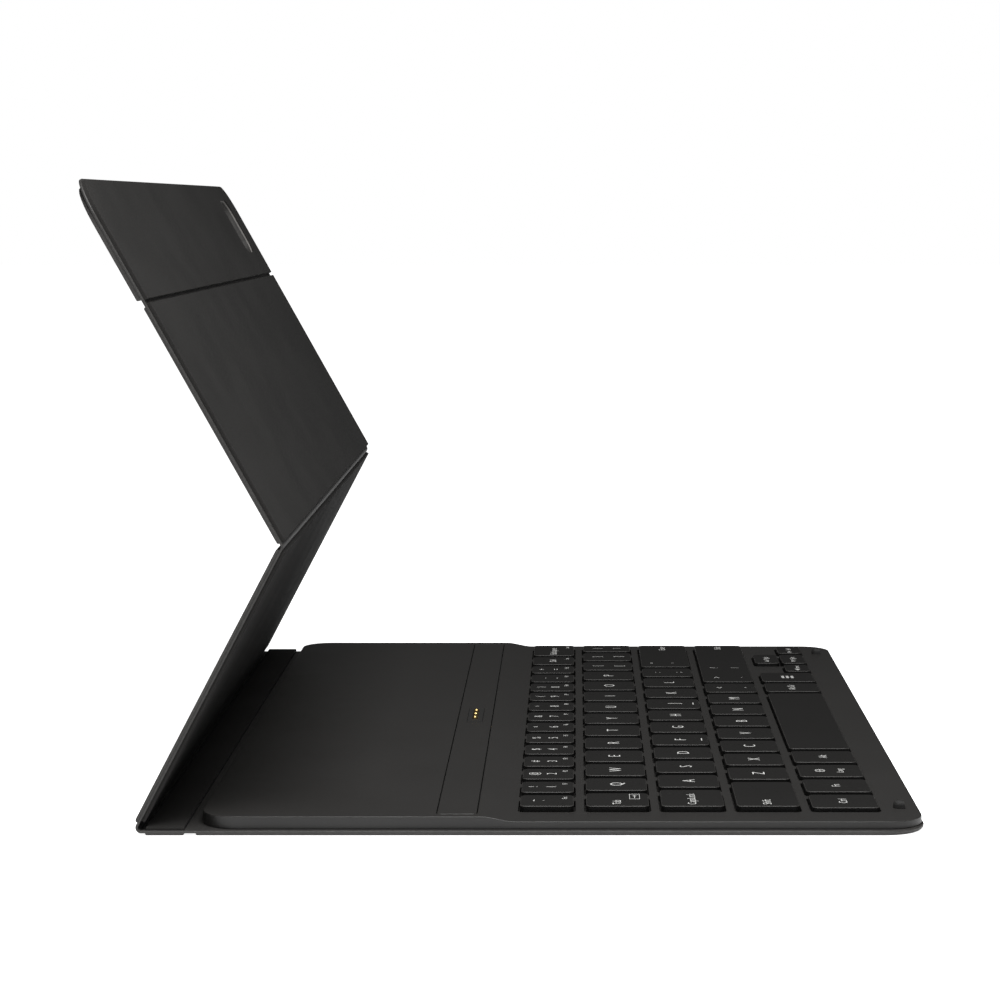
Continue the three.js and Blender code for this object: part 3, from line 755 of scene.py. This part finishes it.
# ---------------------------------------------------------------- keys

KEY_GAP = 3.3  # between neighbouring caps

# the names of the linked caps, how many there are and how wide each is
LINKED_ROWS = {
    "number_row": (12, 11.95),
    "upper_row": (12, 13.8),
    "home_row": (10, 14.0),
    "lower_row": (8, 13.9),
}


def cap_rects():
    """Every cap's rectangle (x0, x1, y0, y1), bottom and top, grouped by CAD node."""
    caps = {}
    for node in frame["nodes"]:
        if node.startswith("key_"):
            low, high = box_mm(node)
            caps[node] = [((low.x, high.x, low.y, high.y), low.z, high.z)]
        elif node.startswith("keys_"):
            low, high = box_mm(node)
            count, width = LINKED_ROWS[node[5:]]
            pitch = width + KEY_GAP
            lefts = [low.x + pitch * i for i in range(count)]
            caps[node] = [((x, x + width, low.y, high.y), low.z, high.z) for x in lefts]
    return caps


def well_rects(caps):
    """The wells in the deck: one around each cap, and one around the up and down keys together."""
    rects = []
    for node, members in caps.items():
        if node == "key_arrow_down":
            continue
        for (x0, x1, y0, y1), _, _ in members:
            if node == "key_arrow_up":
                y0 = caps["key_arrow_down"][0][0][2]
            sides, ends = SIDE_CLEARANCE, DEPTH_CLEARANCE
            rects.append((x0 - sides, x1 + sides, y0 - ends, y1 + ends))
    return rects


def add_cap(bm, rect, z0, z1):
    """A cap with a soft top edge."""
    x0, x1, y0, y1 = rect
    profile = [(0, z0)] + fillet(CAP_FILLET, z1 - CAP_FILLET, z1, 4)
    loops = []
    for inset, z in profile:
        shrunk = (x0 + inset, x1 - inset, y0 + inset, y1 - inset)
        corner = CAP_CORNER - inset * 0.6
        loops.append(rounded_loop(shrunk, (corner, corner), z, 6))
    add_loft(bm, loops)


def build_caps(caps):
    for node, members in caps.items():
        bm = bmesh.new()
        for rect, z0, z1 in members:
            add_cap(bm, rect, z0, z1)
        cap = new_object(node.replace("key_", "cap_").replace("keys_", "caps_"), bm, FLAT, 40)
        place(cap, f"{node}_body", "keycap", CAP_PLASTIC, node)


# ---------------------------------------------------------------- key legends

INK = 0.012  # ink stands this far out of the cap
CAPITAL = 3.1  # heights of a letter, and of the smaller prints
SYMBOL = 2.5
WORD = 2.05
SMALL = 1.5
CORNER_WORD = 1.2
CORNER_RIGHT = 2.1  # from a cap's right and near edges to its corner word
CORNER_UP = 2.15
WORD_INSET = 1.9  # from the end of a cap to its word
RIGHT_WORD_INSET = 2.7  # the same for a word at the right-hand end
NUMBER_DROP = 0.8  # a number's place below the middle of its cap
SHIFTED_RISE = 3.5  # and its symbol's place above
HOME_BAR = (1.4, 1.6, 1.85)  # half length, and both edges from the near side of the cap
ARROW_INSET = 2.2  # from the left-hand end of a cap to its arrow
ICON_STROKE = 0.2
PAIR_SPREAD = 3.15  # from the middle of a cap to each of two symbols

NUMBER_PAIRS = ["1!", "2@", "3#", "4$", "5%", "6^", "7&", "8*", "9(", "0)", "-_", "=+"]
ROW_LABELS = {
    "upper_row": [*"QWERTYUIOP", "[{", "]}"],
    "home_row": [*"ASDFGHJKL", ";:"],
    "lower_row": [*"ZXCVBNM", ",<"],
}
WORDS = {
    "key_backspace": ("Backspace", "left"),
    "key_tab": ("Tab", "left"),
    "key_caps_lock": ("CapsLock", "left"),
    "key_enter": ("Enter", "right"),
    "key_shift_left": ("Shift", "left"),
    "key_shift_right": ("Shift", "right"),
    "key_control": ("Ctrl", "middle"),
    "key_function": ("Fn", "middle"),
    "key_alt_left": ("Alt", "middle"),
    "key_alt_right": ("Alt Gr", "middle"),
    "key_delete": ("Del", "middle"),
}


def text_mesh(text, size):
    """The outline of a word as flat faces, in millimetres, in a light weight of the built-in type."""
    curve = bpy.data.curves.new("legend", "FONT")
    curve.body = text
    curve.size = size / 0.7  # a capital is about 0.7 of the type size
    curve.offset = -0.012 * curve.size
    curve.resolution_u = 4
    carrier = bpy.data.objects.new("legend", curve)
    bpy.context.scene.collection.objects.link(carrier)
    bpy.context.view_layer.update()
    mesh = bpy.data.meshes.new_from_object(carrier.evaluated_get(bpy.context.evaluated_depsgraph_get()))
    bpy.data.objects.remove(carrier)
    bpy.data.curves.remove(curve)
    return mesh


def add_text(bm, text, size, x, y, anchor="middle"):
    """Prints text with its capitals centred on y, and its left, middle or right at x."""
    mesh = text_mesh(text, size)
    xs = [v.co.x for v in mesh.vertices]
    width = max(xs) - min(xs)
    shift = {"left": 0, "middle": -width / 2, "right": -width}[anchor] - min(xs)
    first = len(bm.verts)
    bm.from_mesh(mesh)
    bm.verts.ensure_lookup_table()
    for vert in bm.verts[first:]:
        vert.co = (vert.co.x + x + shift, vert.co.y + y - size / 2, 0)
    bpy.data.meshes.remove(mesh)


def add_polygon(bm, points):
    bm.faces.new([bm.verts.new((x, y, 0)) for x, y in points])


def add_bar(bm, x0, x1, y0, y1):
    add_polygon(bm, [(x0, y0), (x1, y0), (x1, y1), (x0, y1)])


def add_outline(bm, points, middle, stroke):
    """A closed line of the given width just inside the points, which surround the middle."""
    cx, cy = middle
    reach = max(math.dist(middle, point) for point in points)
    share = 1 - stroke / reach
    outer = [bm.verts.new((x, y, 0)) for x, y in points]
    inner = [bm.verts.new((cx + (x - cx) * share, cy + (y - cy) * share, 0)) for x, y in points]
    for i in range(len(points)):
        j = (i + 1) % len(points)
        bm.faces.new((outer[i], outer[j], inner[j], inner[i]))


def thicken(bm, z0, z1):
    """Turns flat faces into thin closed prints from z0 to z1."""
    for vert in bm.verts:
        vert.co.z = z0
    grown = bmesh.ops.extrude_face_region(bm, geom=bm.faces[:])
    for item in grown["geom"]:
        if isinstance(item, bmesh.types.BMVert):
            item.co.z = z1


def add_pair(bm, lower, upper, x, y, size=SYMBOL, spread=PAIR_SPREAD):
    add_text(bm, lower, size, x, y - spread)
    add_text(bm, upper, size, x, y + spread)


def add_corner_word(bm, text, rect):
    """A small second function at the cap's lower right."""
    add_text(bm, text, CORNER_WORD, rect[1] - CORNER_RIGHT, rect[2] + CORNER_UP, "right")


def add_arrow(bm, x, y, turns, size=1.3):
    """A small triangle that points right, turned by quarter turns."""
    cos, sin = math.cos(math.pi / 2 * turns), math.sin(math.pi / 2 * turns)
    points = [(size * 0.6, 0), (-size * 0.5, size * 0.6), (-size * 0.5, -size * 0.6)]
    add_polygon(bm, [(x + px * cos - py * sin, y + px * sin + py * cos) for px, py in points])


def add_grid_icon(bm, x, y):
    """A generic three by three grid of squares."""
    for i in (-1, 0, 1):
        for j in (-1, 0, 1):
            cx, cy, half = x + i * 1.35, y + j * 1.35, 0.4
            add_bar(bm, cx - half, cx + half, cy - half, cy + half)


def add_globe_icon(bm, x, y):
    """A generic globe: a ring, a narrow ring and an equator."""
    turns = [math.tau * k / 24 for k in range(24)]
    for half_width in (1.5, 0.65):
        ring = [(x + half_width * math.cos(a), y + 1.25 * math.sin(a)) for a in turns]
        add_outline(bm, ring, (x, y), ICON_STROKE)
    add_bar(bm, x - 1.4, x + 1.4, y - 0.08, y + 0.08)


def add_tab_icon(bm, x, y):
    """A generic framed arrow that runs up against a bar."""
    half_width, half_height = 2.7, 1.2
    signs = [(-1, -1), (1, -1), (1, 1), (-1, 1)]
    points = [(x + i * half_width, y + j * half_height) for i, j in signs]
    add_outline(bm, points, (x, y), 0.22)
    add_bar(bm, x - 1.7, x + 0.6, y - 0.07, y + 0.07)
    add_arrow(bm, x + 0.7, y, 0, 0.6)
    add_bar(bm, x + 1.3, x + 1.45, y - 0.5, y + 0.5)


def add_row_legends(bm, row, members):
    for i, (rect, _, _) in enumerate(members):
        x, y = (rect[0] + rect[1]) / 2, (rect[2] + rect[3]) / 2
        if row == "number_row":
            lower, upper = NUMBER_PAIRS[i]
            add_text(bm, lower, SYMBOL, x, y - NUMBER_DROP)
            add_text(bm, upper, SYMBOL * 0.9, x, y + SHIFTED_RISE)
            add_corner_word(bm, f"F{i + 1}", rect)
            continue
        label = ROW_LABELS[row][i]
        if len(label) == 1:
            add_text(bm, label, CAPITAL, x, y)
        else:
            add_pair(bm, label[0], label[1], x, y)
        if label in ("F", "J"):
            half, near, far = HOME_BAR
            add_bar(bm, x - half, x + half, rect[2] + near, rect[2] + far)


def add_single_legend(bm, node, rect):
    x0, x1, y0, y1 = rect
    x, y = (x0 + x1) / 2, (y0 + y1) / 2
    if node in WORDS:
        word, anchor = WORDS[node]
        at = {"left": x0 + WORD_INSET, "middle": x, "right": x1 - RIGHT_WORD_INSET}[anchor]
        add_text(bm, word, WORD, at, y + 0.2, anchor)
    if node == "key_grave":
        add_pair(bm, "`", "~", x, y + 1.7, 2.2, 1.6)
        add_corner_word(bm, "Esc", rect)
    elif node == "key_delete":
        add_corner_word(bm, "Ins", rect)
    elif node == "key_backspace":
        add_corner_word(bm, "Lock", rect)
    elif node == "key_tab":
        add_tab_icon(bm, x1 - 3.9, y0 + 3.2)
    elif node == "key_language":
        add_globe_icon(bm, x, y + 2.4)
        add_text(bm, "Lang", SMALL * 1.15, x, y - 2.4)
    elif node == "key_backslash":
        add_pair(bm, "\\", "|", x, y)
    elif node == "key_enter":
        add_pair(bm, "'", '"', x0 + 6.4, y)
    elif node == "key_shift_right":
        add_pair(bm, ".", ">", x0 + 6.9, y)
        add_pair(bm, "/", "?", x0 + 24.1, y)
    elif node == "key_menu":
        add_grid_icon(bm, x, y)
    elif node == "key_arrow_left":
        add_arrow(bm, x0 + ARROW_INSET, y, 2)
        add_text(bm, "Home", SMALL, x + 1, y)
    elif node == "key_arrow_right":
        add_arrow(bm, x0 + ARROW_INSET, y, 0)
        add_text(bm, "End", SMALL, x + 1, y)
    elif node == "key_arrow_up":
        add_arrow(bm, x - 4, y, 1)
        add_text(bm, "PgUp", SMALL, x + 1, y)
    elif node == "key_arrow_down":
        add_arrow(bm, x - 4, y, 3)
        add_text(bm, "PgDn", SMALL, x + 1, y)


def build_legends(caps):
    for node, members in caps.items():
        top = members[0][2]
        bm = bmesh.new()
        if node.startswith("keys_"):
            add_row_legends(bm, node[5:], members)
        else:
            add_single_legend(bm, node, members[0][0])
        if not bm.faces:
            bm.free()
            continue
        thicken(bm, top - INK, top + INK)
        legend = new_object(node.replace("keys_", "print_").replace("key_", "print_"), bm, FLAT, 30)
        place(legend, f"{node}_body", "keycap", LEGEND)


# ---------------------------------------------------------------- stage, light and camera


FLOOR_HALF_SIZE = 6000
FLOOR_DROP = 0.05  # keeps the floor clear of the underside
FLOOR_GLOW = 0.27  # its own light on the object
FLOOR_GLOW_TO_CAMERA = 0.65  # and what the camera sees on top of that


def build_stage():
    """A pale floor, bright to the camera so that it runs into the backdrop."""
    bm = bmesh.new()
    bmesh.ops.create_grid(bm, x_segments=1, y_segments=1, size=FLOOR_HALF_SIZE)
    floor = new_object("floor", bm, FLAT @ Matrix.Translation((0, 0, -FLOOR_DROP)))
    n = Nodes("pale_floor")
    mottle = n.noise(400, 2)
    n.set("Base Color", n.mix(mottle, (0.93, 0.93, 0.93, 1), (0.95, 0.95, 0.95, 1)))
    n.set("Roughness", 0.9)
    n.set("Specular IOR Level", 0.0)
    n.set("Emission Color", (1, 1, 1, 1))
    to_camera = n.add("ShaderNodeLightPath").outputs["Is Camera Ray"]
    extra = n.math("MULTIPLY", to_camera, FLOOR_GLOW_TO_CAMERA)
    n.set("Emission Strength", n.math("ADD", extra, FLOOR_GLOW))
    floor.data.materials.append(n.material)


def area_light(name, location, target, size, power):
    """A rectangular lamp that points at a target, in metres and watts."""
    data = bpy.data.lights.new(name, "AREA")
    data.shape = "RECTANGLE"
    data.size, data.size_y = size
    data.energy = power
    lamp = bpy.data.objects.new(name, data)
    lamp.location = location
    lamp.rotation_euler = (Vector(target) - Vector(location)).to_track_quat("-Z", "Y").to_euler()
    bpy.context.scene.collection.objects.link(lamp)


BACKDROP_LIGHT = 0.23  # what the backdrop gives to matt surfaces, against 1 to the camera
BACKDROP_GLOSS = 0.05  # and what glossy surfaces mirror of it


def build_light():
    """A white backdrop that the object hardly mirrors, and soft lamps above and on the near side."""
    world = bpy.data.worlds.new("studio")
    bpy.context.scene.world = world
    world.use_nodes = True
    tree = world.node_tree
    background = tree.nodes["Background"]
    path = tree.nodes.new("ShaderNodeLightPath")
    to_objects = tree.nodes.new("ShaderNodeMix")
    to_objects.data_type = "FLOAT"
    to_objects.inputs["A"].default_value = BACKDROP_LIGHT
    to_objects.inputs["B"].default_value = BACKDROP_GLOSS
    tree.links.new(path.outputs["Is Glossy Ray"], to_objects.inputs["Factor"])
    strength = tree.nodes.new("ShaderNodeMix")
    strength.data_type = "FLOAT"
    strength.inputs["B"].default_value = 1.0
    tree.links.new(path.outputs["Is Camera Ray"], strength.inputs["Factor"])
    tree.links.new(to_objects.outputs["Result"], strength.inputs["A"])
    tree.links.new(strength.outputs["Result"], background.inputs["Strength"])
    background.inputs["Color"].default_value = (1, 1, 1, 1)
    area_light("near_light", (-0.27, 0.0, 0.48), (-0.13, 0.0, 0), (0.34, 0.3), 3.5)
    area_light("top_light", (-0.32, -0.15, 1.3), (-0.05, 0, 0.03), (0.9, 0.9), 2.5)


def build_camera():
    """Looks along the case from the typist's left, a little down, with a long lens."""
    data = bpy.data.cameras.new("camera")
    data.sensor_width = 36
    data.lens = 100.1
    data.shift_x = -0.0747
    data.shift_y = -0.1044
    data.clip_start = 0.01
    camera = bpy.data.objects.new("camera", data)
    bpy.context.scene.collection.objects.link(camera)
    camera.location = (-0.7459, -0.0028, 0.1415)
    down = math.radians(3.882)
    camera.rotation_euler = (math.pi / 2 - down, 0, -math.pi / 2)
    bpy.context.scene.camera = camera


# ---------------------------------------------------------------- assembly

bpy.context.scene.view_settings.view_transform = "Standard"
build_camera()
build_light()
build_stage()
paint_cad_nodes()
build_cover()
CAPS = cap_rects()
build_deck(well_rects(CAPS))
build_strip()
build_bumpers()
build_caps(CAPS)
build_legends(CAPS)
bpy.data.objects.remove(camera_window_cutter())

bpy.context.view_layer.update()
